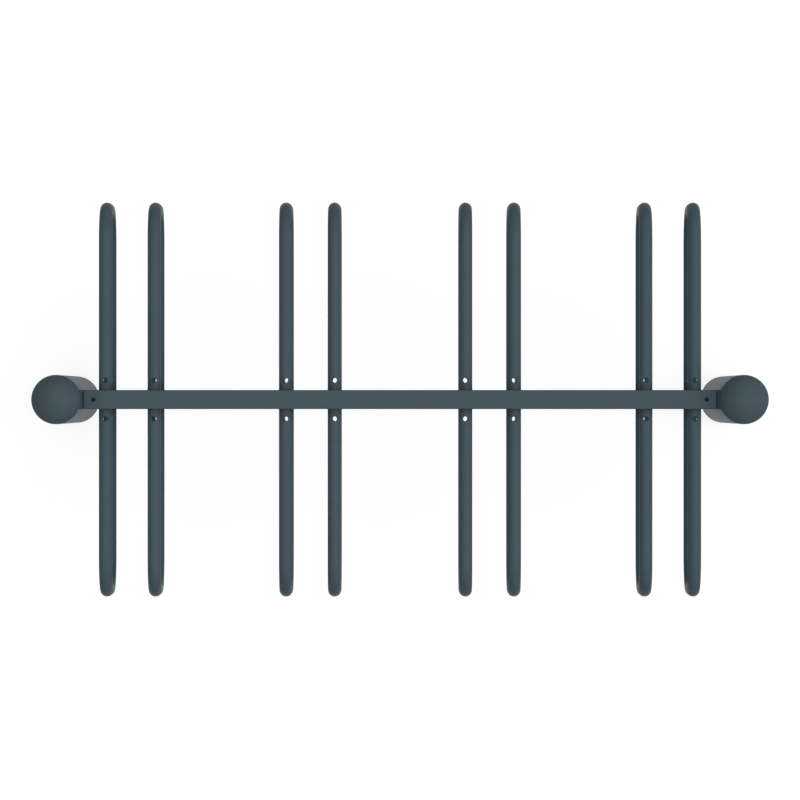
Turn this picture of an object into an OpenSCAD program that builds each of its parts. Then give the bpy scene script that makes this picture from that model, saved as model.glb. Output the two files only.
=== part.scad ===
// Double-sided bike rack: two posts, two beams between them and sixteen half hoops.
// X runs along the beams, Y across them and Z up. The origin is on the ground, midway
// between the posts. All sizes are in millimetres.

/* [Wheel slots] */
// Distance between the centres of neighbouring wheel slots
slot_pitch = 340; // [300:5:400]
// Clear gap for the tyre between the two hoops of a slot
tyre_gap = 67; // [50:1:75]
// Distance from the beams' centre line to the outer end of a hoop
hoop_reach = 374; // [300:1:450]
// Distance between the centre lines of a hoop's upper and lower legs
leg_spacing = 177; // [150:1:210]

/* [Hoop tube] */
// Outer diameter of the hoop tube
tube_d = 25; // [20:0.5:26]
// Wall of the hoop tube
tube_wall = 2; // [1.5:0.1:2.5]
// Radius of the hoop's bends, measured to the centre line of the tube
bend_r = 64; // [45:1:70]
// Diameter of the vent holes drilled down through each leg
vent_d = 10; // [6:0.5:12]
// Distance from the beam's face to the centre of a vent hole
vent_setback = 18.5; // [15:0.5:30]

/* [Beams] */
// Width and height of the square beam section
beam_w = 36; // [34:1:45]
// Wall of the beams
beam_wall = 2.5; // [2:0.1:3]
// Outer corner radius of the beams
beam_corner_r = 3; // [2:0.1:3.5]
// Distance from the post cap's rim down to the upper beam's top face
beam_drop = 12; // [8:1:60]

/* [Posts] */
// Outer diameter of the posts and their caps
post_d = 93; // [80:1:108]
// Wall of the posts
post_wall = 4; // [3:0.1:5]
// Height of the post cap's rim above the ground
rim_height = 715; // [500:1:900]
// Distance from the outermost slot's centre to the post's centre
end_margin = 138; // [132:1:200]
// Rise of the cap's dome above its rim
cap_rise = 31; // [12:1:36]
// Height of the cap's straight rim
cap_rim_h = 3; // [2:0.1:6]
// Wall of the cap
cap_wall = 3; // [2.5:0.1:4]
// Depth of the cap's skirt inside the post
cap_skirt_depth = 14; // [10:1:25]

/* [Beam joints] */
// How far the collar's flat face stands out past the post's side
collar_stand = 2.3; // [1:0.1:6]
// Length of the notch in the beam's top wall, from the collar
notch_len = 4; // [2:0.1:6]
// Length of the spigot from the notch inwards
spigot_reach = 55; // [45:1:80]
// Wall of the spigots
spigot_wall = 3; // [2.5:0.1:4]
// Play between the sides of the spigot and the inside of the beam
spigot_play = 0.6; // [0.4:0.1:1]

/* [Locking screws] */
// Thread diameter of the locking screws
screw_d = 8; // [6:1:8]
// Depth of the screw's top below the beam's top face
screw_recess = 1.5; // [0.5:0.1:2]
// Diameter of the screw holes in the beams' top wall
screw_hole_d = 10; // [9:0.5:12]
// Distance from the notch to the screw
screw_setback = 17; // [12:0.5:25]
// Width of the square weld nuts
nut_w = 14; // [13:0.5:16]
// Height of the weld nuts
nut_h = 6.5; // [5:0.5:7]

/* [Feet] */
// Thickness of the foot plate inside each post
foot_plate_t = 8; // [6:0.5:12]
// Diameter of the anchor bolt hole in each foot plate
anchor_hole_d = 18; // [14:0.5:22]

/* [Hidden] */

$fn = 96;

// Wheel slots on each side
slot_count = 4;
LEFT = -1;
RIGHT = 1;
FRONT = -1;
BACK = 1;

// Paint on the rack, bare zinc on the foot plates, black screws
PAINT = [0.27, 0.33, 0.36];
ZINC = [0.62, 0.63, 0.64];
BLACK = [0.15, 0.15, 0.16];

// Overrun of a cutting shape past the face that it cuts
cut = 1;
// Room between pieces that fit together: a cap or plate in the post, the beam between its collars
fit_room = 0.2;
// Radial room for a screw in its nut
thread_room = 0.05;
// Room between a nut and the spigot below it
nut_room = 0.5;
spigot_corner_r = 2;
hex_sides = 6;
screw_socket_w = 4;
screw_socket_corners = screw_socket_w / cos(180 / hex_sides);
screw_socket_depth = 4;

post_x = (slot_count - 1) * slot_pitch / 2 + end_margin;
post_r = post_d / 2;
post_bore_r = post_r - post_wall;
post_top_z = rim_height - cap_rim_h;
dome_r = (post_r * post_r + cap_rise * cap_rise) / (2 * cap_rise);
dome_centre_z = rim_height + cap_rise - dome_r;

upper_z = rim_height - beam_drop - beam_w / 2;
lower_z = upper_z - leg_spacing;
collar_face_x = post_x - post_r - collar_stand;
// The beam's sides and bottom reach the collar, and its top wall ends at the notch
beam_end_x = collar_face_x - fit_room;
top_wall_end_x = collar_face_x - notch_len;
screw_x = top_wall_end_x - screw_setback;

beam_inside_w = beam_w - 2 * beam_wall;
spigot_w = beam_inside_w - spigot_play;
spigot_h = beam_inside_w - nut_h - nut_room;
spigot_end_x = top_wall_end_x - spigot_reach;
// The screws clamp the spigot to the beam's bottom wall, which leaves room above it for the nuts
spigot_top = spigot_h - beam_inside_w / 2;
spigot_mid = spigot_top - spigot_h / 2;
screw_top = beam_w / 2 - screw_recess;
screw_len = screw_top - spigot_top;

hoop_offset = (tyre_gap + tube_d) / 2;
hoop_end_y = hoop_reach - tube_d / 2;
bend_y = hoop_end_y - bend_r;

// Centre of a wheel slot, counted from 1 at the left
function slot_x(slot) = (slot - (slot_count + 1) / 2) * slot_pitch;

// Rectangle with rounded corners, centred on the origin
module rounded_rectangle(w, h, r) {
  square([w - 2 * r, h], center = true);
  square([w, h - 2 * r], center = true);
  for (x = [-1, 1], y = [-1, 1]) {
    translate([x * (w / 2 - r), y * (h / 2 - r)]) circle(r = r);
  }
}

// Bar of width w and height h lying along X from x_from to x_to
module level_bar(w, h, r, x_from, x_to) {
  translate([x_from, 0, 0])
    rotate([90, 0, 90])
      linear_extrude(height = x_to - x_from)
        rounded_rectangle(w, h, r);
}

// Turns a piece made for the right-hand post round to the given side
module on_side(side) {
  rotate([0, 0, side == RIGHT ? 0 : 180])
    children();
}

// Outside of the right-hand post, made longer than any piece that is cut to fit against it
module post_cutter() {
  translate([post_x, 0, -beam_w])
    cylinder(r = post_r, h = 2 * beam_w);
}

module post(side) {
  color(PAINT)
    translate([side * post_x, 0, 0])
      difference() {
        cylinder(r = post_r, h = post_top_z);
        translate([0, 0, -cut])
          cylinder(r = post_bore_r, h = post_top_z + 2 * cut);
      }
}

// Domed cap: a hollow dome on a straight rim, with a skirt that drops into the post
module post_cap(side) {
  skirt_r = post_bore_r - fit_room;
  color(PAINT)
    translate([side * post_x, 0, 0])
      difference() {
        union() {
          intersection() {
            translate([0, 0, dome_centre_z])
              sphere(r = dome_r);
            translate([0, 0, rim_height])
              cylinder(r = post_r + cut, h = cap_rise + cut);
          }
          translate([0, 0, post_top_z])
            cylinder(r = post_r, h = cap_rim_h);
          translate([0, 0, post_top_z - cap_skirt_depth])
            cylinder(r = skirt_r, h = cap_skirt_depth);
        }
        intersection() {
          translate([0, 0, dome_centre_z])
            sphere(r = dome_r - cap_wall);
          translate([0, 0, rim_height - cut])
            cylinder(r = skirt_r - cap_wall, h = cap_rise + cut);
        }
        translate([0, 0, post_top_z - cap_skirt_depth - cut])
          cylinder(r = skirt_r - cap_wall, h = cap_skirt_depth + cap_rim_h + cut);
      }
}

// Disc welded inside the foot of the post, with the anchor bolt's hole
module foot_plate(side) {
  color(ZINC)
    translate([side * post_x, 0, 0])
      difference() {
        cylinder(r = post_bore_r - fit_room, h = foot_plate_t);
        translate([0, 0, -cut])
          cylinder(d = anchor_hole_d, h = foot_plate_t + 2 * cut);
      }
}

// Flat-faced collar of the beam's outer section, cut round to fit the post
module collar(side, z) {
  hole_w = spigot_w + fit_room;
  hole_h = spigot_h + fit_room;
  color(PAINT)
    translate([0, 0, z])
      on_side(side)
        difference() {
          level_bar(beam_w, beam_w, beam_corner_r, collar_face_x, post_x);
          translate([0, 0, spigot_mid])
            level_bar(hole_w, hole_h, spigot_corner_r, collar_face_x - cut, post_x + cut);
          post_cutter();
        }
}

// Box section inside the beam's end, cut round to fit the post
module spigot(side, z) {
  color(PAINT)
    translate([0, 0, z])
      on_side(side)
        difference() {
          translate([0, 0, spigot_mid])
            level_bar(spigot_w, spigot_h, spigot_corner_r, spigot_end_x, post_x);
          translate([0, 0, spigot_mid])
            cube([2 * post_x, spigot_w - 2 * spigot_wall, spigot_h - 2 * spigot_wall], center = true);
          post_cutter();
        }
}

// Square nuts welded under both ends of the top wall of the beam at height z
module weld_nuts(z) {
  color(PAINT)
    for (side = [LEFT, RIGHT]) {
      translate([side * screw_x, 0, z + (beam_inside_w - nut_h) / 2])
        difference() {
          cube([nut_w, nut_w, nut_h], center = true);
          cylinder(r = screw_d / 2 + thread_room, h = nut_h + 2 * cut, center = true);
        }
    }
}

// Socket set screws: each is threaded in a nut of the beam and bears on the spigot
module lock_screws(z) {
  color(BLACK)
    for (side = [LEFT, RIGHT]) {
      translate([side * screw_x, 0, z + screw_top])
        difference() {
          translate([0, 0, -screw_len])
            cylinder(d = screw_d, h = screw_len);
          translate([0, 0, -screw_socket_depth])
            cylinder(d = screw_socket_corners, h = screw_socket_depth + cut, $fn = hex_sides);
        }
    }
}

// Box section with square inside corners, notched at both ends and drilled for the locking screws
module beam(z) {
  notch_cutter_len = notch_len + cut;
  color(PAINT)
    translate([0, 0, z])
      difference() {
        level_bar(beam_w, beam_w, beam_corner_r, -beam_end_x, beam_end_x);
        cube([2 * beam_end_x + 2 * cut, beam_inside_w, beam_inside_w], center = true);
        for (side = [LEFT, RIGHT]) {
          translate([side * screw_x, 0, 0])
            cylinder(d = screw_hole_d, h = beam_w);
          translate([side * (top_wall_end_x + notch_cutter_len / 2), 0, beam_w / 2])
            cube([notch_cutter_len, beam_inside_w, beam_w], center = true);
        }
      }
}

// Quarter bend of a solid bar in the YZ plane, from level at the bottom to upright at the far end
module quarter_bend(d) {
  rotate([0, 90, 0])
    rotate_extrude(angle = 90)
      translate([bend_r, 0])
        circle(d = d);
}

// Solid bar of diameter d along a hoop's whole path, its legs starting at y_from
module hoop_bar(d, y_from) {
  half = leg_spacing / 2;
  for (up = [0, 1]) {
    mirror([0, 0, up])
      union() {
        translate([0, y_from, -half])
          rotate([-90, 0, 0])
            cylinder(d = d, h = bend_y - y_from);
        translate([0, bend_y, -half + bend_r])
          quarter_bend(d);
      }
  }
  translate([0, hoop_end_y, bend_r - half])
    cylinder(d = d, h = leg_spacing - 2 * bend_r);
}

// One bent tube whose two legs end on the faces of the upper and the lower beam
module half_hoop(side, x) {
  face_y = beam_w / 2;
  color(PAINT)
    translate([x, 0, (upper_z + lower_z) / 2])
      mirror([0, side == FRONT ? 1 : 0, 0])
        difference() {
          hoop_bar(tube_d, face_y);
          hoop_bar(tube_d - 2 * tube_wall, face_y - cut);
          translate([0, face_y + vent_setback, 0])
            cylinder(d = vent_d, h = leg_spacing + 2 * tube_d, center = true);
        }
}

module left_hoop(side, slot) {
  half_hoop(side, slot_x(slot) - hoop_offset);
}

module right_hoop(side, slot) {
  half_hoop(side, slot_x(slot) + hoop_offset);
}

post(LEFT);  // left_post
post(RIGHT);  // right_post
post_cap(LEFT);  // left_post_cap
post_cap(RIGHT);  // right_post_cap
foot_plate(LEFT);  // left_foot_plate
foot_plate(RIGHT);  // right_foot_plate
collar(LEFT, upper_z);  // left_upper_collar
collar(LEFT, lower_z);  // left_lower_collar
collar(RIGHT, upper_z);  // right_upper_collar
collar(RIGHT, lower_z);  // right_lower_collar
spigot(LEFT, upper_z);  // left_upper_spigot
spigot(LEFT, lower_z);  // left_lower_spigot
spigot(RIGHT, upper_z);  // right_upper_spigot
spigot(RIGHT, lower_z);  // right_lower_spigot
weld_nuts(upper_z);  // upper_weld_nuts
weld_nuts(lower_z);  // lower_weld_nuts
lock_screws(upper_z);  // upper_lock_screws
lock_screws(lower_z);  // lower_lock_screws
beam(upper_z);  // upper_beam
beam(lower_z);  // lower_beam
left_hoop(FRONT, 1);  // front_hoop_1_left
right_hoop(FRONT, 1);  // front_hoop_1_right
left_hoop(FRONT, 2);  // front_hoop_2_left
right_hoop(FRONT, 2);  // front_hoop_2_right
left_hoop(FRONT, 3);  // front_hoop_3_left
right_hoop(FRONT, 3);  // front_hoop_3_right
left_hoop(FRONT, 4);  // front_hoop_4_left
right_hoop(FRONT, 4);  // front_hoop_4_right
left_hoop(BACK, 1);  // back_hoop_1_left
right_hoop(BACK, 1);  // back_hoop_1_right
left_hoop(BACK, 2);  // back_hoop_2_left
right_hoop(BACK, 2);  // back_hoop_2_right
left_hoop(BACK, 3);  // back_hoop_3_left
right_hoop(BACK, 3);  // back_hoop_3_right
left_hoop(BACK, 4);  // back_hoop_4_left
right_hoop(BACK, 4);  // back_hoop_4_right
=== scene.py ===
import math

import bmesh
import bpy
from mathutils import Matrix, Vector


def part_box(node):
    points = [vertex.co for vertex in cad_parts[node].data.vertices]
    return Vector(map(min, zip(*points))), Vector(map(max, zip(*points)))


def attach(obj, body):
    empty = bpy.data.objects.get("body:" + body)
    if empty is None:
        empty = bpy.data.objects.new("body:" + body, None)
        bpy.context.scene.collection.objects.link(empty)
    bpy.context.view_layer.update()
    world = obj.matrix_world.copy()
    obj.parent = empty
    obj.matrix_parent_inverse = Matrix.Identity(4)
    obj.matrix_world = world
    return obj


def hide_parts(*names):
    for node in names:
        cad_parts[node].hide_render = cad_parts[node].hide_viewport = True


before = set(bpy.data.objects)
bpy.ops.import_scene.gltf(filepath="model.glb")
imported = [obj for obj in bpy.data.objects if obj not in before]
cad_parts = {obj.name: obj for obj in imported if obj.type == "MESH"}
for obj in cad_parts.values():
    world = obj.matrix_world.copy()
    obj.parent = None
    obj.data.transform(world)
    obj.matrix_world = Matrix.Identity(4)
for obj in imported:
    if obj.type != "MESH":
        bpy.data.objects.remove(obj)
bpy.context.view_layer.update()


# Camera
# The photograph looks straight down on the middle of the rack through a long lens, as a
# product view in plan does. One pixel at the level of the upper beam is 1.888 mm there.
photo_pixels = 800
lens_pixels = 6000
metres_per_pixel = 0.0018878
sensor = 36
frame_shift = -0.00056
farthest_seen = 100
low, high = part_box("upper_beam")
tube_level = (low.z + high.z) / 2
lens = bpy.data.cameras.new("camera")
lens.sensor_width = sensor
lens.lens = sensor * lens_pixels / photo_pixels
lens.clip_end = farthest_seen
lens.shift_y = frame_shift
camera = bpy.data.objects.new("camera", lens)
camera.location = (0, 0, tube_level + lens_pixels * metres_per_pixel)
bpy.context.collection.objects.link(camera)
bpy.context.scene.camera = camera
bpy.context.scene.view_settings.view_transform = "Standard"


# Studio
# A plain floor under a pale sky, both seen white, with a wide soft light a little right of
# overhead and a weaker one from the right, which leaves the tubes darker on their left sides.
floor_reach = 60
floor_grey = 0.3
floor_lift = 0.77
floor_roughness = 0.9
sky_fill = 0.42
sky_seen = 1.0
white = (1, 1, 1)


def linked(name, mesh):
    made = bpy.data.objects.new(name, mesh)
    bpy.context.collection.objects.link(made)
    return made


def new_material(name):
    material = bpy.data.materials.new(name)
    material.use_nodes = True
    return material, material.node_tree, material.node_tree.nodes["Principled BSDF"]


def fill(tree, socket, value):
    """Gives an input socket a number or a colour, or links another socket to it."""
    if isinstance(value, bpy.types.NodeSocket):
        tree.links.new(value, socket)
    elif socket.type == "RGBA":
        socket.default_value = (*value, 1)
    else:
        socket.default_value = value


def maths(tree, operation, *values, clamp=False):
    made = tree.nodes.new("ShaderNodeMath")
    made.operation = operation
    made.use_clamp = clamp
    for socket, value in zip(made.inputs, values):
        fill(tree, socket, value)
    return made.outputs["Value"]


def where_looked_at(tree, value):
    """The value where the floor or sky is looked at, straight or in a reflection, and 0 for its light."""
    path = tree.nodes.new("ShaderNodeLightPath").outputs
    straight = maths(tree, "ADD", path["Is Camera Ray"], path["Is Glossy Ray"], clamp=True)
    either = maths(tree, "ADD", straight, path["Is Transmission Ray"], clamp=True)
    return maths(tree, "MULTIPLY", either, value)


floor_mesh = bpy.data.meshes.new("floor")
floor_corners = [(floor_reach * x, floor_reach * y, 0) for x, y in ((-1, -1), (1, -1), (1, 1), (-1, 1))]
floor_mesh.from_pydata(floor_corners, [], [(0, 1, 2, 3)])
floor = linked("floor", floor_mesh)
floor_paper, tree, shader = new_material("floor_paper")
fill(tree, shader.inputs["Base Color"], (floor_grey, floor_grey, floor_grey))
shader.inputs["Roughness"].default_value = floor_roughness
shader.inputs["Specular IOR Level"].default_value = 0
fill(tree, shader.inputs["Emission Color"], white)
fill(tree, shader.inputs["Emission Strength"], where_looked_at(tree, floor_lift))
floor_mesh.materials.append(floor_paper)

sky = bpy.data.worlds.new("sky")
sky.use_nodes = True
bpy.context.scene.world = sky
tree = sky.node_tree
background = tree.nodes["Background"].inputs
fill(tree, background["Color"], white)
extra = where_looked_at(tree, sky_seen - sky_fill)
fill(tree, background["Strength"], maths(tree, "ADD", extra, sky_fill))


def soft_light(name, strength, spread, lean):
    """A far light that shines down from the given angle to the right, as wide as its spread."""
    data = bpy.data.lights.new(name, "SUN")
    data.energy = strength
    data.angle = math.radians(spread)
    light = bpy.data.objects.new(name, data)
    light.rotation_euler = (0, math.radians(lean), 0)
    bpy.context.collection.objects.link(light)


soft_light("overhead_light", strength=1.4, spread=50, lean=8)
soft_light("right_light", strength=0.85, spread=50, lean=60)


# Posts
# Round steel tube, hot-dip galvanized and then powder coated in a satin dark slate. Both
# cut ends are deburred, and the lower one stands on the ground.
slate = (0.0525, 0.083, 0.0975)
cloud_tint = 0.08
cloud_scale = 9
coat_gloss = 0.03
coat_roughness = 0.42
cloud_roughness = 0.12
peel_scale = 450
peel_strength = 0.3
peel_height = 0.0002
pale_dust = (0.17, 0.17, 0.16)
usual_dust = 0.05
dust_roughness = 0.4
dust_scale = 40
dust_flatness = 3
dust_patches = 2
post_splash = 0.3
splash_height = 0.16
splash_fade = 2
post_turns = 144
post_wall = 0.004
deburr = 0.0008
sharp_edge = 32


def new_group(name, numbers, results):
    """An empty group of shader nodes, with a socket for each named number that goes in and comes out."""
    group = bpy.data.node_groups.new(name, "ShaderNodeTree")
    for socket, start in numbers.items():
        number_in = group.interface.new_socket(socket, in_out="INPUT", socket_type="NodeSocketFloat")
        number_in.default_value = start
    for socket in results:
        group.interface.new_socket(socket, in_out="OUTPUT", socket_type="NodeSocketFloat")
    return group, group.nodes.new("NodeGroupInput").outputs, group.nodes.new("NodeGroupOutput").inputs


def on_the_piece(tree):
    """Where a point lies on its piece, which a pattern follows."""
    return tree.nodes.new("ShaderNodeTexCoord").outputs["Object"]


def noise(tree, place, scale, detail):
    made = tree.nodes.new("ShaderNodeTexNoise")
    fill(tree, made.inputs["Vector"], place)
    fill(tree, made.inputs["Scale"], scale)
    fill(tree, made.inputs["Detail"], detail)
    return made.outputs["Fac"]


def split(tree, vector):
    made = tree.nodes.new("ShaderNodeSeparateXYZ")
    fill(tree, made.inputs["Vector"], vector)
    return made.outputs


def mixed(tree, share, first, second):
    """Mixes two colours. A Mix node's colour sockets share their names, so they are taken by number."""
    made = tree.nodes.new("ShaderNodeMix")
    made.data_type = "RGBA"
    fill(tree, made.inputs["Factor"], share)
    fill(tree, made.inputs[6], first)
    fill(tree, made.inputs[7], second)
    return made.outputs[2]


def placed(tree, group, **numbers):
    made = tree.nodes.new("ShaderNodeGroup")
    made.node_tree = group
    for name, value in numbers.items():
        fill(tree, made.inputs[name.replace("_", " ")], value)
    return made.outputs


def raised(tree, shader, height, strength, depth):
    """Gives a shader the fine relief of a pattern of heights."""
    bump = tree.nodes.new("ShaderNodeBump")
    bump.inputs["Strength"].default_value = strength
    bump.inputs["Distance"].default_value = depth
    fill(tree, bump.inputs["Height"], height)
    fill(tree, shader.inputs["Normal"], bump.outputs["Normal"])


# Baked powder has a fine orange peel, and lies in slow clouds where the spray was heavier
powder_skin, number, result = new_group(
    "powder_skin", {"Peel Scale": peel_scale, "Cloud Scale": cloud_scale}, ("Peel", "Cloud"))
here = on_the_piece(powder_skin)
fill(powder_skin, result["Peel"], noise(powder_skin, here, scale=number["Peel Scale"], detail=2))
fill(powder_skin, result["Cloud"], noise(powder_skin, here, scale=number["Cloud Scale"], detail=3))

# Dust settles on what faces up, and rain splashes dirt up from the ground
outdoor_dust, number, result = new_group(
    "outdoor_dust", {"Settled": usual_dust, "Splashed": 0, "Splash Height": splash_height}, ("Mask",))
here = on_the_piece(outdoor_dust)
facing = split(outdoor_dust, outdoor_dust.nodes.new("ShaderNodeNewGeometry").outputs["Normal"])
upward = maths(outdoor_dust, "POWER", maths(outdoor_dust, "MAXIMUM", facing["Z"], 0), dust_flatness)
settled = maths(outdoor_dust, "MULTIPLY", upward, number["Settled"])
climb = maths(outdoor_dust, "DIVIDE", split(outdoor_dust, here)["Z"], number["Splash Height"])
lowness = maths(outdoor_dust, "POWER", maths(outdoor_dust, "SUBTRACT", 1, climb, clamp=True), splash_fade)
splashed = maths(outdoor_dust, "MULTIPLY", lowness, number["Splashed"])
patchy = noise(outdoor_dust, here, scale=dust_scale, detail=5)
patchy = maths(outdoor_dust, "MULTIPLY", patchy, dust_patches)
together = maths(outdoor_dust, "ADD", settled, splashed)
fill(outdoor_dust, result["Mask"], maths(outdoor_dust, "MULTIPLY", together, patchy, clamp=True))


def powder_coat(name, dust=usual_dust, splash=0, roughness=coat_roughness):
    """Satin slate powder coat with its peel, its clouds and its dust."""
    material, tree, shader = new_material(name)
    skin = placed(tree, powder_skin, Peel_Scale=peel_scale, Cloud_Scale=cloud_scale)
    dust_and_shade = placed(tree, outdoor_dust, Settled=dust, Splashed=splash, Splash_Height=splash_height)["Mask"]
    thin = tuple((1 + cloud_tint) * part for part in slate)
    thick = tuple((1 - cloud_tint) * part for part in slate)
    paint = mixed(tree, skin["Cloud"], thick, thin)
    fill(tree, shader.inputs["Base Color"], mixed(tree, dust_and_shade, paint, pale_dust))
    smoothest = roughness - cloud_roughness / 2
    clouded = maths(tree, "MULTIPLY_ADD", skin["Cloud"], cloud_roughness, smoothest)
    dusty = maths(tree, "MULTIPLY_ADD", dust_and_shade, dust_roughness, clouded, clamp=True)
    fill(tree, shader.inputs["Roughness"], dusty)
    shader.inputs["Specular IOR Level"].default_value = coat_gloss
    raised(tree, shader, skin["Peel"], peel_strength, peel_height)
    return material


def skinned(name, loops, crease=sharp_edge):
    """A closed skin through loops of points. A lone point is a pole, and the last loop joins the first."""
    body = bmesh.new()
    rings = [[body.verts.new(point) for point in loop] for loop in loops]
    count = max(len(ring) for ring in rings)
    for first, second in zip(rings, rings[1:] + rings[:1]):
        if len(first) == len(second) == 1:
            continue
        for step in range(count):
            after = (step + 1) % count
            corners = (first[step % len(first)], first[after % len(first)],
                       second[after % len(second)], second[step % len(second)])
            body.faces.new(tuple(dict.fromkeys(corners)))
    bmesh.ops.recalc_face_normals(body, faces=body.faces)
    mesh = bpy.data.meshes.new(name)
    body.to_mesh(mesh)
    body.free()
    mesh.shade_smooth()
    mesh.set_sharp_from_angle(angle=math.radians(crease))
    return linked(name, mesh)


def turned(name, outline, x):
    """Turns a closed outline of (radius, height) points round the upright line at x."""
    angles = [2 * math.pi * step / post_turns for step in range(post_turns)]
    loops = []
    for radius, height in outline:
        around = angles if radius else angles[:1]
        loops.append([(x + radius * math.cos(a), radius * math.sin(a), height) for a in around])
    return skinned(name, loops)


def eased_ring(inner, outer, bottom, top, edge):
    """The outline of a tube or a disc with a hole, its corners taken off by the edge."""
    return [(inner, bottom + edge), (inner + edge, bottom), (outer - edge, bottom), (outer, bottom + edge),
            (outer, top - edge), (outer - edge, top), (inner + edge, top), (inner, top - edge)]


def fitted(piece, material, slot, *nodes):
    """Gives a piece its finish, and puts it on the rack in place of its nodes."""
    piece.data.materials.clear()
    piece.data.materials.append(material)
    if nodes:
        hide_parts(*nodes)
    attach(piece, "root")


post_paint = powder_coat("post_powder_coat", splash=post_splash)
for side in ("left", "right"):
    low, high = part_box(side + "_post")
    post_x = (low.x + high.x) / 2
    post_radius = (high.y - low.y) / 2
    bore = post_radius - post_wall
    post = turned(side + "_post_tube", eased_ring(bore, post_radius, low.z, high.z, deburr), post_x)
    fitted(post, post_paint, "powder_coat", side + "_post")


# Foot plates
# A steel disc welded flush inside the foot of each post, with a hole for the anchor bolt.
# It is flame-cut plate, left in its dull zinc coat.
zinc = (0.42, 0.43, 0.44)
zinc_dark = (0.27, 0.28, 0.29)
zinc_metal = 0.85
zinc_roughness = 0.42
crystal_roughness = 0.2
crystal_scale = 110
grain_scale = 900
grain_strength = 0.4
grain_height = 0.0002
anchor_hole_radius = 0.009
plate_deburr = 0.0006

# Hot-dip zinc freezes in crystals of slightly different greys, each with its own shine
zinc_crystals, number, result = new_group(
    "zinc_crystals", {"Crystal Scale": crystal_scale}, ("Tone", "Grain"))
here = on_the_piece(zinc_crystals)
crystals = zinc_crystals.nodes.new("ShaderNodeTexVoronoi")
fill(zinc_crystals, crystals.inputs["Vector"], here)
fill(zinc_crystals, crystals.inputs["Scale"], number["Crystal Scale"])
fill(zinc_crystals, result["Tone"], split(zinc_crystals, crystals.outputs["Color"])["X"])
fill(zinc_crystals, result["Grain"], noise(zinc_crystals, here, scale=grain_scale, detail=3))


def zinc_coat(name):
    material, tree, shader = new_material(name)
    surface = placed(tree, zinc_crystals, Crystal_Scale=crystal_scale)
    fill(tree, shader.inputs["Base Color"], mixed(tree, surface["Tone"], zinc_dark, zinc))
    dull = maths(tree, "MULTIPLY_ADD", surface["Tone"], crystal_roughness, zinc_roughness)
    fill(tree, shader.inputs["Roughness"], dull)
    shader.inputs["Metallic"].default_value = zinc_metal
    raised(tree, shader, surface["Grain"], grain_strength, grain_height)
    return material


plate_zinc = zinc_coat("plate_zinc")
for side in ("left", "right"):
    low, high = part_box(side + "_foot_plate")
    plate_x = (low.x + high.x) / 2
    rim = (high.y - low.y) / 2
    outline = eased_ring(anchor_hole_radius, rim, low.z, high.z, plate_deburr)
    plate = turned(side + "_foot_disc", outline, plate_x)
    fitted(plate, plate_zinc, "zinc_steel", side + "_foot_plate")


# Collars
# A short block of the beam's outer section, cut round to sit on the post and welded to it, with
# a hole that passes the spigot. The end of the beam stops just short of it.
corner_radius = 0.003
corner_steps = 8
collar_edge = 0.0004
spigot_corner = 0.002
# Painted shade by the joints: its near-black colour, the size and depth of its blotches, and how dark and
# how far from the posts it reaches on the beam ends
painted_shade_colour = (0.016, 0.02, 0.022)
shade_blotch_scale = 260
blotch_depth = 0.8
beam_end_shade = 0.3
beam_end_shade_reach = 0.05


def rounded_box(width, height, radius, rise=0.0):
    """Points (y, z) round a rectangle with rounded corners, its middle lifted by the rise."""
    across, up = width / 2 - radius, height / 2 - radius
    points = []
    for quarter in range(4):
        turn = math.pi / 2 * quarter
        y, z = across * (1, -1, -1, 1)[quarter], rise + up * (1, 1, -1, -1)[quarter]
        for step in range(corner_steps + 1):
            angle = turn + math.pi / 2 * step / corner_steps
            points.append((y + radius * math.cos(angle), z + radius * math.sin(angle)))
    return points


def inset_box(width, inset, radius):
    """Points round the same square, drawn in by the inset on every side."""
    return rounded_box(width - 2 * inset, width - 2 * inset, radius)


def made_solid(piece):
    """Turns a piece and its modifiers into a plain mesh."""
    graph = bpy.context.evaluated_depsgraph_get()
    plain = bpy.data.meshes.new_from_object(piece.evaluated_get(graph), depsgraph=graph)
    piece.modifiers.clear()
    old = piece.data
    piece.data = plain
    bpy.data.meshes.remove(old)
    plain.name = piece.name


def flats_kept_flat(piece):
    """Weights each normal by its faces' areas, so that flats shade flat right up to the rounded corners."""
    weigh = piece.modifiers.new("flat_sides", "WEIGHTED_NORMAL")
    weigh.keep_sharp = True
    made_solid(piece)


# Painted shade: the paint is darkened in patches near the faces where the parts meet, as shade falls in the
# corners beside the welds
corner_dirt, number, result = new_group(
    "corner_dirt", {"Distance": 0, "Reach": beam_end_shade_reach, "Strength": beam_end_shade}, ("Mask",))
far_off = maths(corner_dirt, "DIVIDE", number["Distance"], number["Reach"], clamp=True)
nearness = maths(corner_dirt, "SUBTRACT", 1, far_off, clamp=True)
blotches = noise(corner_dirt, on_the_piece(corner_dirt), scale=shade_blotch_scale, detail=3)
blotches = maths(corner_dirt, "MULTIPLY_ADD", blotches, blotch_depth, 1 - blotch_depth / 2)
blotches = maths(corner_dirt, "MULTIPLY", blotches, number["Strength"])
fill(corner_dirt, result["Mask"], maths(corner_dirt, "MULTIPLY", nearness, blotches, clamp=True))


def painted_shade_by(material, axis, face, reach, strength):
    """Paints shade over a powder coat beside the faces that stand this far out along the axis, both ways: a
    patchy darkening that stands in for the shade in those corners.
    """
    tree = material.node_tree
    colour = tree.nodes["Principled BSDF"].inputs["Base Color"]
    out = maths(tree, "ABSOLUTE", split(tree, on_the_piece(tree))[axis])
    distance = maths(tree, "ABSOLUTE", maths(tree, "SUBTRACT", out, face))
    dust_and_shade = placed(tree, corner_dirt, Distance=distance, Reach=reach, Strength=strength)["Mask"]
    fill(tree, colour, mixed(tree, dust_and_shade, colour.links[0].from_socket, painted_shade_colour))


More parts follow.
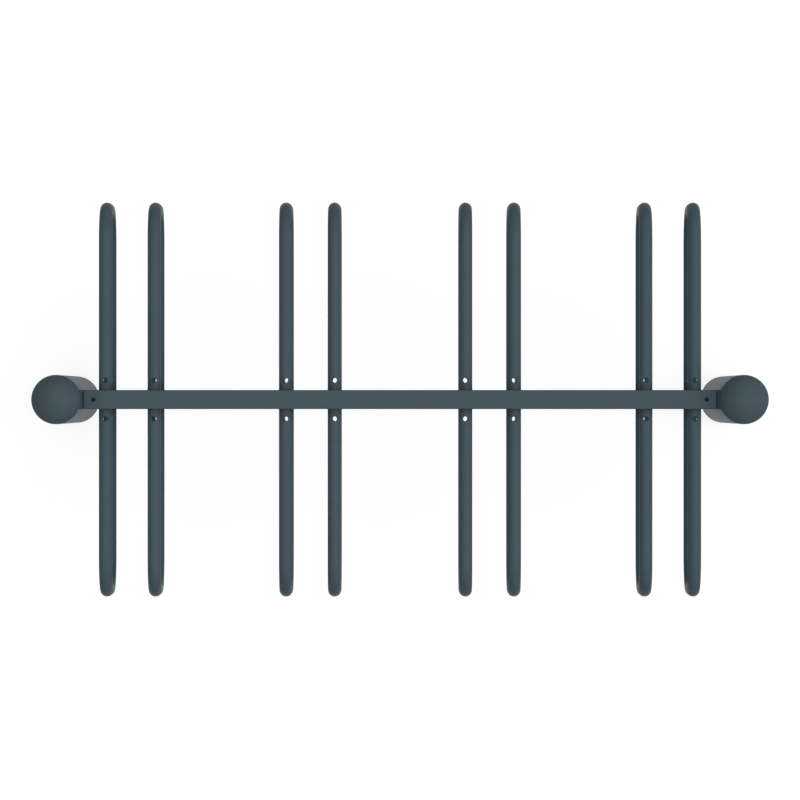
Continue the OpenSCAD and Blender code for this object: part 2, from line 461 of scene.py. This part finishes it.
joint_paint = powder_coat("joint_powder_coat", dust=0.03)
# Painted shade: the collars' paint darkens towards the faces of the posts
painted_shade_by(joint_paint, "X", abs(post_x) - post_radius, beam_end_shade_reach, beam_end_shade)
for side in ("left", "right"):
    outward = -1 if side == "left" else 1
    for level in ("upper", "lower"):
        node = f"{side}_{level}_collar"
        low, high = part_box(node)
        spigot_low, spigot_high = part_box(f"{side}_{level}_spigot")
        face_x = min(abs(low.x), abs(high.x))
        middle_z = (low.z + high.z) / 2
        width = high.z - low.z
        hole_width, hole_height = spigot_high.y - spigot_low.y, spigot_high.z - spigot_low.z
        hole_z = (spigot_low.z + spigot_high.z) / 2
        outer = rounded_box(width, width, corner_radius)
        inner = rounded_box(hole_width, hole_height, spigot_corner, hole_z - middle_z)
        trimmed = inset_box(width, collar_edge, corner_radius - collar_edge)

        def on_post(points):
            reach = [abs(post_x) - math.sqrt(post_radius ** 2 - y ** 2) for y, z in points]
            return [(outward * x, y, middle_z + z) for x, (y, z) in zip(reach, points)]

        def on_face(points, back=0.0):
            return [(outward * (face_x + back), y, middle_z + z) for y, z in points]

        loops = [on_face(inner), on_face(trimmed), on_face(outer, collar_edge),
                 on_post(outer), on_post(inner)]
        collar = skinned(f"{side}_{level}_collar_ring", loops)
        flats_kept_flat(collar)
        fitted(collar, joint_paint, "powder_coat", node)


# Spigots
# A smaller box section welded to the post through its collar, over which the end of the beam
# slides. It has the post's powder coat, and is seen deep in the notch of the beam.
spigot_paint = powder_coat("spigot_powder_coat", dust=0)
for side in ("left", "right"):
    for level in ("upper", "lower"):
        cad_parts[f"{side}_{level}_spigot"].material_slots[0].material = spigot_paint


# Weld nuts
# Square nuts welded under both ends of the beams' top walls before coating. Only a ring of each
# shows, round its screw at the bottom of the hole.
nut_paint = powder_coat("nut_powder_coat", dust=0)
for level in ("upper", "lower"):
    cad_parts[level + "_weld_nuts"].material_slots[0].material = nut_paint


# Locking screws
# Blackened M8 socket set screws with a flat point. Each is turned down through its nut with a
# hex key, and clamps the spigot to the beam's bottom wall.
screw_black = (0.005, 0.011, 0.015)
rubbed_tint = 2.2
rub_scale = 700
screw_metal = 0.6
screw_gloss = 0.2
screw_roughness = 0.35
rub_roughness = 0.25
screw_turns = 48
screw_sharp_edge = 25
thread_pitch = 0.00125
thread_depth = 0.0006
thread_slices = 8
screw_chamfer = 0.0007
socket_width = 0.004
socket_depth = 0.004
socket_chamfer = 0.0003
socket_point = 0.001


def black_steel(name):
    material, tree, shader = new_material(name)
    rubbed = noise(tree, on_the_piece(tree), scale=rub_scale, detail=4)
    worn = tuple(rubbed_tint * part for part in screw_black)
    fill(tree, shader.inputs["Base Color"], mixed(tree, rubbed, screw_black, worn))
    dull = maths(tree, "MULTIPLY_ADD", rubbed, rub_roughness, screw_roughness)
    fill(tree, shader.inputs["Roughness"], dull)
    shader.inputs["Metallic"].default_value = screw_metal
    shader.inputs["Specular IOR Level"].default_value = screw_gloss
    return material


def socket_screw(radius, length):
    """Points of one screw from its flat point up to its head and down its socket, its top at 0."""
    angles = [2 * math.pi * step / screw_turns for step in range(screw_turns)]

    def round_loop(size, height):
        return [(size * math.cos(a), size * math.sin(a), height) for a in angles]

    def hexagon(width, height):
        sizes = [width / 2 / math.cos((a + math.pi / 6) % (math.pi / 3) - math.pi / 6) for a in angles]
        return [(size * math.cos(a), size * math.sin(a), height) for size, a in zip(sizes, angles)]

    slices = round(length / thread_pitch * thread_slices)
    loops = [[(0, 0, -length)], round_loop(radius - 2 * screw_chamfer, -length)]
    for cut in range(1, slices):
        height = -length + length * cut / slices
        end_room = min(-height, height + length)
        blunt = radius - max(0.0, screw_chamfer - end_room)
        loop = []
        for a in angles:
            phase = (height / thread_pitch - a / (2 * math.pi)) % 1
            size = min(blunt, radius - thread_depth * abs(2 * phase - 1))
            loop.append((size * math.cos(a), size * math.sin(a), height))
        loops.append(loop)
    loops.append(round_loop(radius - screw_chamfer, 0))
    loops.append(hexagon(socket_width + 2 * socket_chamfer, 0))
    loops.append(hexagon(socket_width, -socket_chamfer))
    loops.append(hexagon(socket_width, -socket_depth))
    loops.append([(0, 0, -socket_depth - socket_point)])
    return loops


def geometry_maker(name, sizes):
    """An empty tree of geometry nodes, with a named input for each size."""
    tree = bpy.data.node_groups.new(name, "GeometryNodeTree")
    tree.interface.new_socket("Geometry", in_out="INPUT", socket_type="NodeSocketGeometry")
    for size, kind in sizes.items():
        tree.interface.new_socket(size, in_out="INPUT", socket_type="NodeSocket" + kind)
    tree.interface.new_socket("Geometry", in_out="OUTPUT", socket_type="NodeSocketGeometry")
    made = tree.nodes.new("NodeGroupOutput").inputs["Geometry"]
    return tree, tree.nodes.new("NodeGroupInput").outputs, made


def work(tree, kind, inputs, **options):
    """One geometry node with its options set and its inputs filled."""
    made = tree.nodes.new(kind)
    for name, value in options.items():
        setattr(made, name, value)
    for name, value in inputs.items():
        fill(tree, made.inputs[name], value)
    return made.outputs


def finished(tree, geometry, finish, result):
    """Ends a tree: its instances are made real, and take their finish."""
    real = work(tree, "GeometryNodeRealizeInstances", {"Geometry": geometry})["Geometry"]
    painted = work(tree, "GeometryNodeSetMaterial", {"Geometry": real, "Material": finish})["Geometry"]
    fill(tree, result, painted)


def shape_by(piece, tree, **sizes):
    """Runs a tree of geometry nodes on a piece with the sizes given, and keeps the result as its mesh."""
    modifier = piece.modifiers.new(tree.name, "NODES")
    modifier.node_group = tree
    named = {item.name: item.identifier for item in tree.interface.items_tree if item.in_out == "INPUT"}
    for name, value in sizes.items():
        modifier[named[name.replace("_", " ")]] = value
    made_solid(piece)


set_in_places, given, result = geometry_maker("set_in_places", {"Piece": "Object", "Finish": "Material"})
one = work(set_in_places, "GeometryNodeObjectInfo", {"Object": given["Piece"]})["Geometry"]
many = work(set_in_places, "GeometryNodeInstanceOnPoints", {"Points": given["Geometry"], "Instance": one})
finished(set_in_places, many["Instances"], given["Finish"], result)

screw_finish = black_steel("blackened_screw_steel")
for level in ("upper", "lower"):
    low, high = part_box(level + "_lock_screws")
    screw_radius = (high.y - low.y) / 2
    screw_x = high.x - screw_radius
    places = bpy.data.meshes.new("screw_places")
    places.from_pydata([(-screw_x, 0, high.z), (screw_x, 0, high.z)], [], [])
    pattern = skinned("screw_pattern", socket_screw(screw_radius, high.z - low.z), screw_sharp_edge)
    screws = linked(level + "_socket_screws", places)
    shape_by(screws, set_in_places, Piece=pattern, Finish=screw_finish)
    bpy.data.objects.remove(pattern)
    fitted(screws, screw_finish, "black_steel", level + "_lock_screws")


# Beams
# Two lengths of square steel tube, one above the other, with a notch in the top wall at both
# ends and a hole beside it for the locking screw. They carry the hoops.
beam_wall = 0.0025
notch_length = 0.004
inside_corner = 0.0005
beam_edge = 0.0005
screw_hole_radius = 0.005
screw_hole_turns = 64
beam_paint = powder_coat("beam_powder_coat", dust=0.06)
# Painted shade: the beams' paint darkens towards their ends at the posts
painted_shade_by(beam_paint, "X", abs(post_x) - post_radius, beam_end_shade_reach, beam_end_shade)


def drilled(piece, holes):
    """Cuts the holes out of a piece."""
    cut = piece.modifiers.new("drill", "BOOLEAN")
    cut.object = holes
    cut.solver = "EXACT"
    made_solid(piece)
    bpy.data.objects.remove(holes)
    piece.data.set_sharp_from_angle(angle=math.radians(sharp_edge))


for level in ("upper", "lower"):
    low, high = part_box(level + "_beam")
    screw_low, screw_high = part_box(level + "_lock_screws")
    middle_z = (low.z + high.z) / 2
    width = high.z - low.z
    outer = rounded_box(width, width, corner_radius)
    eased = inset_box(width, beam_edge, corner_radius - beam_edge)
    inner = inset_box(width, beam_wall, inside_corner)
    stations = [(low.x, eased), (low.x + beam_edge, outer), (high.x - beam_edge, outer), (high.x, eased),
                (high.x, inner), (low.x, inner)]
    beam = skinned(level + "_beam_tube", [[(x, y, middle_z + z) for y, z in loop] for x, loop in stations])
    screw_x = screw_high.x - (screw_high.y - screw_low.y) / 2
    notch_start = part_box(f"right_{level}_collar")[0].x - notch_length
    holes = bmesh.new()
    for side in (-1, 1):
        drill = bmesh.ops.create_cone(holes, cap_ends=True, segments=screw_hole_turns, depth=width,
                                      radius1=screw_hole_radius, radius2=screw_hole_radius)["verts"]
        bmesh.ops.translate(holes, verts=drill, vec=(side * screw_x, 0, high.z))
        notch = bmesh.ops.create_cube(holes, size=1)["verts"]
        bmesh.ops.scale(holes, verts=notch, vec=(2 * notch_length, width - 2 * beam_wall, width))
        bmesh.ops.translate(holes, verts=notch, vec=(side * (notch_start + notch_length), 0, high.z))
    hole_mesh = bpy.data.meshes.new("screw_holes")
    holes.to_mesh(hole_mesh)
    holes.free()
    drilled(beam, linked("screw_holes", hole_mesh))
    flats_kept_flat(beam)
    fitted(beam, beam_paint, "powder_coat", level + "_beam")


# Hoops
# Sixteen half hoops of round steel tube, bent twice to a radius and welded by both legs to the
# faces of the two beams. Each leg is drilled through beside the beam, to let zinc run out.
tube_wall = 0.002
tube_turns = 96
bend_radius = 0.064
bend_steps = 28
hoop_sharp_edge = 40
vent_radius = 0.005
vent_setback = 0.0185
vent_turns = 48
near_vent = 0.008
past_the_end = 0.001
lip_radius = 0.0003
lip_setback = 0.0001
lip_points = 56
lip_turns = 6
# Painted shade on the legs beside the beams: how dark it gets and how far from the beam faces it reaches
leg_end_shade = 0.46
leg_end_shade_reach = 0.022
hoop_paint = powder_coat("hoop_powder_coat")
# Painted shade: the hoops' paint darkens towards the faces of the beams
painted_shade_by(hoop_paint, "Y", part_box("upper_beam")[1].y, leg_end_shade_reach, leg_end_shade)

bent_hoop, given, result = geometry_maker("bent_hoop", {
    "Tube Radius": "Float", "Bore Radius": "Float", "Round Steps": "Int", "Bend Steps": "Int",
    "Overrun": "Vector", "Vent Centre": "Vector", "Vent Radius": "Float", "Vent Depth": "Float",
    "Lip Radius": "Float", "Lip Setback": "Float", "Finish": "Material"})


def hoop_step(kind, inputs, **options):
    return work(bent_hoop, "GeometryNode" + kind, inputs, **options)


def hoop_circle(steps, radius):
    return hoop_step("CurvePrimitiveCircle", {"Resolution": steps, "Radius": radius})["Curve"]


def hoop_vector(operation, inputs):
    return work(bent_hoop, "ShaderNodeVectorMath", inputs, operation=operation)


line = hoop_step("MeshToCurve", {"Mesh": given["Geometry"]})["Curve"]
bend = hoop_step("InputNamedAttribute", {"Name": "bend_radius"})["Attribute"]
path = hoop_step("FilletCurve", {"Curve": line, "Count": given["Bend Steps"], "Radius": bend},
                 mode="POLY")["Curve"]
ends = hoop_step("CurveEndpointSelection", {})["Selection"]
longer = hoop_step("SetPosition", {"Geometry": path, "Selection": ends,
                                   "Offset": given["Overrun"]})["Geometry"]
outside = hoop_circle(given["Round Steps"], given["Tube Radius"])
inside = hoop_circle(given["Round Steps"], given["Bore Radius"])
bar = hoop_step("CurveToMesh", {"Curve": path, "Profile Curve": outside, "Fill Caps": True})["Mesh"]
bore = hoop_step("CurveToMesh", {"Curve": longer, "Profile Curve": inside, "Fill Caps": True})["Mesh"]
drill = hoop_step("MeshCylinder", {"Vertices": vent_turns, "Radius": given["Vent Radius"],
                                   "Depth": given["Vent Depth"]})["Mesh"]
drill = hoop_step("Transform", {"Geometry": drill, "Translation": given["Vent Centre"]})["Geometry"]
cut = bent_hoop.nodes.new("GeometryNodeMeshBoolean")
cut.operation = "DIFFERENCE"
cut.solver = "EXACT"
for mesh, socket in ((bar, "Mesh 1"), (bore, "Mesh 2"), (drill, "Mesh 2")):
    fill(bent_hoop, cut.inputs[socket], mesh)

# Powder builds up round the mouths of the holes, in a thin bead over their cut edges
spot = hoop_step("InputPosition", {})["Position"]
away = hoop_vector("SUBTRACT", {0: spot, 1: given["Vent Centre"]})["Vector"]
level_away = hoop_vector("MULTIPLY", {0: away, 1: (1, 1, 0)})["Vector"]
distance = hoop_vector("LENGTH", {0: level_away})["Value"]
mouth_edge = maths(bent_hoop, "ADD", given["Vent Radius"], given["Lip Radius"])
near_hole = maths(bent_hoop, "LESS_THAN", distance, mouth_edge)
mouth = work(bent_hoop, "FunctionNodeBooleanMath",
             {0: cut.outputs["Intersecting Edges"], 1: near_hole})["Boolean"]
rim = hoop_step("MeshToCurve", {"Mesh": cut.outputs["Mesh"], "Selection": mouth})["Curve"]
rim = hoop_step("ResampleCurve", {"Curve": rim, "Count": lip_points})["Curve"]
outwards = hoop_vector("NORMALIZE", {0: level_away})["Vector"]
beside = hoop_vector("SCALE", {0: outwards, "Scale": given["Lip Setback"]})["Vector"]
rim = hoop_step("SetPosition", {"Geometry": rim, "Offset": beside})["Geometry"]
bead = hoop_circle(lip_turns, given["Lip Radius"])
lips = hoop_step("CurveToMesh", {"Curve": rim, "Profile Curve": bead})["Mesh"]
whole = bent_hoop.nodes.new("GeometryNodeJoinGeometry")
for mesh in (cut.outputs["Mesh"], lips):
    fill(bent_hoop, whole.inputs["Geometry"], mesh)
smooth = hoop_step("SetShadeSmooth", {"Geometry": whole.outputs["Geometry"]}, domain="FACE")["Geometry"]
finished(bent_hoop, smooth, given["Finish"], result)

# The line of a hoop has points close on both sides of its vents, which keeps the drilled faces short
low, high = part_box("back_hoop_1_left")
tube_radius = (high.x - low.x) / 2
near, reach = low.y, high.y - tube_radius
top, bottom = high.z - tube_radius, low.z + tube_radius
vent = near + vent_setback
leg = [near, vent - near_vent, vent + near_vent]
line_points = [(y, top) for y in leg + [reach]] + [(y, bottom) for y in [reach] + leg[::-1]]
line_edges = [(point, point + 1) for point in range(len(line_points) - 1)]
for side in ("front", "back"):
    outward = -1 if side == "front" else 1
    setting_out = bpy.data.meshes.new(side + "_hoop_line")
    setting_out.from_pydata([(0, outward * y, z) for y, z in line_points], line_edges, [])
    bends = setting_out.attributes.new("bend_radius", "FLOAT", "POINT")
    bends.data.foreach_set("value", [bend_radius if y == reach else 0.0 for y, z in line_points])
    pattern = linked(side + "_hoop_pattern", setting_out)
    shape_by(pattern, bent_hoop, Tube_Radius=tube_radius, Bore_Radius=tube_radius - tube_wall,
             Round_Steps=tube_turns, Bend_Steps=bend_steps, Overrun=(0, -outward * past_the_end, 0),
             Vent_Centre=(0, outward * vent, (top + bottom) / 2), Vent_Radius=vent_radius,
             Vent_Depth=top - bottom + 4 * tube_radius, Lip_Radius=lip_radius, Lip_Setback=lip_setback,
             Finish=hoop_paint)
    pattern.data.set_sharp_from_angle(angle=math.radians(hoop_sharp_edge))
    for slot in (1, 2, 3, 4):
        for hand in ("left", "right"):
            node = f"{side}_hoop_{slot}_{hand}"
            low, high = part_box(node)
            place = bpy.data.meshes.new(node + "_place")
            place.from_pydata([((low.x + high.x) / 2, 0, 0)], [], [])
            hoop = linked(node + "_tube", place)
            shape_by(hoop, set_in_places, Piece=pattern, Finish=hoop_paint)
            fitted(hoop, hoop_paint, "powder_coat", node)
    bpy.data.objects.remove(pattern)


# Weld beads
# Every leg is welded all round where it meets its beam, every collar where it sits on its post,
# and every foot plate inside its post. The beads keep their ripples under the powder coat.
leg_bead = 0.0013
leg_seed = 3.0
collar_bead = 0.0013
collar_seed = 7.0
plate_bead = 0.0028
plate_seed = 11.0
bead_sunk = 0.0004
bead_steps = 96
bead_spacing = 0.00035
bead_turns = 12
bead_smallest = 0.8
ripple_length = 0.0016
ripple_depth = 0.14
ripple_sharpness = 1.6
unevenness = 0.16
wander_scale = 120
weld_roughness = 0.46

weld_bead, given, result = geometry_maker("weld_bead", {
    "Bead Radius": "Float", "Ripple Length": "Float", "Ripple Depth": "Float", "Unevenness": "Float",
    "Seed": "Float", "Step": "Float", "Finish": "Material"})


def bead_step(kind, inputs, **options):
    return work(weld_bead, kind, inputs, **options)


seam = bead_step("GeometryNodeMeshToCurve", {"Mesh": given["Geometry"]})["Curve"]
seam = bead_step("GeometryNodeResampleCurve", {"Curve": seam, "Length": given["Step"]},
                 mode="LENGTH")["Curve"]
around = bead_step("GeometryNodeSplineLength", {})["Length"]
count = maths(weld_bead, "ROUND", maths(weld_bead, "DIVIDE", around, given["Ripple Length"]))
along = bead_step("GeometryNodeSplineParameter", {})["Factor"]
saw = maths(weld_bead, "FRACT", maths(weld_bead, "MULTIPLY", along, count))
ripple = maths(weld_bead, "POWER", saw, ripple_sharpness)
ripple = maths(weld_bead, "MULTIPLY", ripple, given["Ripple Depth"])
spot = bead_step("GeometryNodeInputPosition", {})["Position"]
drift = bead_step("ShaderNodeTexNoise", {"Vector": spot, "W": given["Seed"], "Scale": wander_scale,
                                         "Detail": 1}, noise_dimensions="4D")["Fac"]
wander = maths(weld_bead, "MULTIPLY", drift, given["Unevenness"])
size = maths(weld_bead, "ADD", maths(weld_bead, "ADD", ripple, wander), bead_smallest)
section = bead_step("GeometryNodeCurvePrimitiveCircle",
                    {"Resolution": bead_turns, "Radius": given["Bead Radius"]})["Curve"]
bead = bead_step("GeometryNodeCurveToMesh",
                 {"Curve": seam, "Profile Curve": section, "Scale": size})["Mesh"]
bead = bead_step("GeometryNodeSetShadeSmooth", {"Geometry": bead}, domain="FACE")["Geometry"]
finished(weld_bead, bead, given["Finish"], result)

weld_paint = powder_coat("weld_powder_coat", dust=0.04, roughness=weld_roughness)
# Painted shade: the beads' paint darkens towards the faces of the beams
painted_shade_by(weld_paint, "Y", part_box("upper_beam")[1].y, leg_end_shade_reach, leg_end_shade)


def seams(name, loops):
    """A piece of closed lines, one for each seam."""
    points, edges = [], []
    for loop in loops:
        first = len(points)
        points += loop
        edges += [(first + step, first + (step + 1) % len(loop)) for step in range(len(loop))]
    mesh = bpy.data.meshes.new(name)
    mesh.from_pydata(points, edges, [])
    return linked(name, mesh)


def ring(x, y, z, radius, upright):
    """Points of a circle round a level line along Y, or round an upright one."""
    points = []
    for step in range(bead_steps):
        angle = 2 * math.pi * step / bead_steps
        out, up = radius * math.cos(angle), radius * math.sin(angle)
        points.append((x + out, y + up, z) if upright else (x + out, y, z + up))
    return points


def welded(piece, radius, seed):
    """Runs a bead along the lines of a piece."""
    shape_by(piece, weld_bead, Bead_Radius=radius, Ripple_Length=ripple_length, Ripple_Depth=ripple_depth,
             Unevenness=unevenness, Seed=seed, Step=bead_spacing, Finish=weld_paint)
    fitted(piece, weld_paint, "powder_coat")


for number, level in enumerate(("upper", "lower")):
    beam_low, beam_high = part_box(level + "_beam")
    middle_z = (beam_low.z + beam_high.z) / 2
    loops = []
    for slot in (1, 2, 3, 4):
        for hand in ("left", "right"):
            low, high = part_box(f"back_hoop_{slot}_{hand}")
            for face in (-1, 1):
                loops.append(ring((low.x + high.x) / 2, face * (beam_high.y - bead_sunk), middle_z,
                                  tube_radius - bead_sunk, upright=False))
    welded(seams(level + "_leg_welds", loops), leg_bead, leg_seed + number)

for number, side in enumerate(("left", "right")):
    low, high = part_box(side + "_post")
    middle_x = (low.x + high.x) / 2
    inward = 1 if side == "left" else -1
    loops = []
    for level in ("upper", "lower"):
        collar_low, collar_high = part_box(f"{side}_{level}_collar")
        middle_z = (collar_low.z + collar_high.z) / 2
        loop = []
        for y, z in inset_box(collar_high.z - collar_low.z, bead_sunk, corner_radius):
            out = math.sqrt(post_radius ** 2 - y ** 2) - bead_sunk
            loop.append((middle_x + inward * out, y, middle_z + z))
        loops.append(loop)
    welded(seams(side + "_collar_welds", loops), collar_bead, collar_seed + number)
    plate_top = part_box(side + "_foot_plate")[1].z
    plate_seam = ring(middle_x, 0, plate_top, post_radius - post_wall - bead_sunk, upright=True)
    welded(seams(side + "_plate_weld", [plate_seam]), plate_bead, plate_seed + number)


# Post caps
# Domed steel caps with a short straight rim and a skirt that drops into the post. They are
# coated like the posts, and a fine line shows where the rim meets the tube.
cap_wall = 0.003
cap_rim_height = 0.003
shoulder = 0.004
shoulder_steps = 8
skirt_gap = 0.0002
dome_steps = 40
cap_paint = powder_coat("cap_powder_coat", dust=0.07)


def arc(out, up, radius, start, end, steps):
    """Points (radius, height) along an arc, its angles measured from straight up."""
    angles = [start + (end - start) * step / steps for step in range(steps + 1)]
    return [(out + radius * math.sin(angle), up + radius * math.cos(angle)) for angle in angles]


for side in ("left", "right"):
    low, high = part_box(side + "_post_cap")
    tube_low, tube_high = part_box(side + "_post")
    middle_x = (tube_low.x + tube_high.x) / 2
    seat = tube_high.z
    rim = seat + cap_rim_height
    rise = high.z - rim
    dome = (post_radius ** 2 + rise ** 2) / (2 * rise)
    centre = high.z - dome
    skirt = post_radius - post_wall - skirt_gap

    # The shoulder rounds the dome into the rim: its middle is where both lie one shoulder radius away
    shoulder_out = post_radius - shoulder
    shoulder_up = centre + math.sqrt((dome - shoulder) ** 2 - shoulder_out ** 2)
    dome_end = math.atan2(shoulder_out, shoulder_up - centre)
    outline = arc(0, centre, dome, 0, dome_end, dome_steps)
    outline += arc(shoulder_out, shoulder_up, shoulder, dome_end, math.pi / 2, shoulder_steps)[1:]
    outline += [(post_radius, seat + deburr), (post_radius - deburr, seat), (skirt, seat),
                (skirt, low.z + deburr), (skirt - deburr, low.z), (skirt - cap_wall, low.z),
                (skirt - cap_wall, rim)]
    hollow = dome - cap_wall
    hollow_end = math.asin((skirt - cap_wall) / hollow)
    outline += arc(0, centre, hollow, hollow_end, 0, dome_steps)[1:]
    outline[0] = (0, outline[0][1])
    outline[-1] = (0, outline[-1][1])
    cap = turned(side + "_domed_cap", outline, middle_x)
    fitted(cap, cap_paint, "powder_coat", side + "_post_cap")
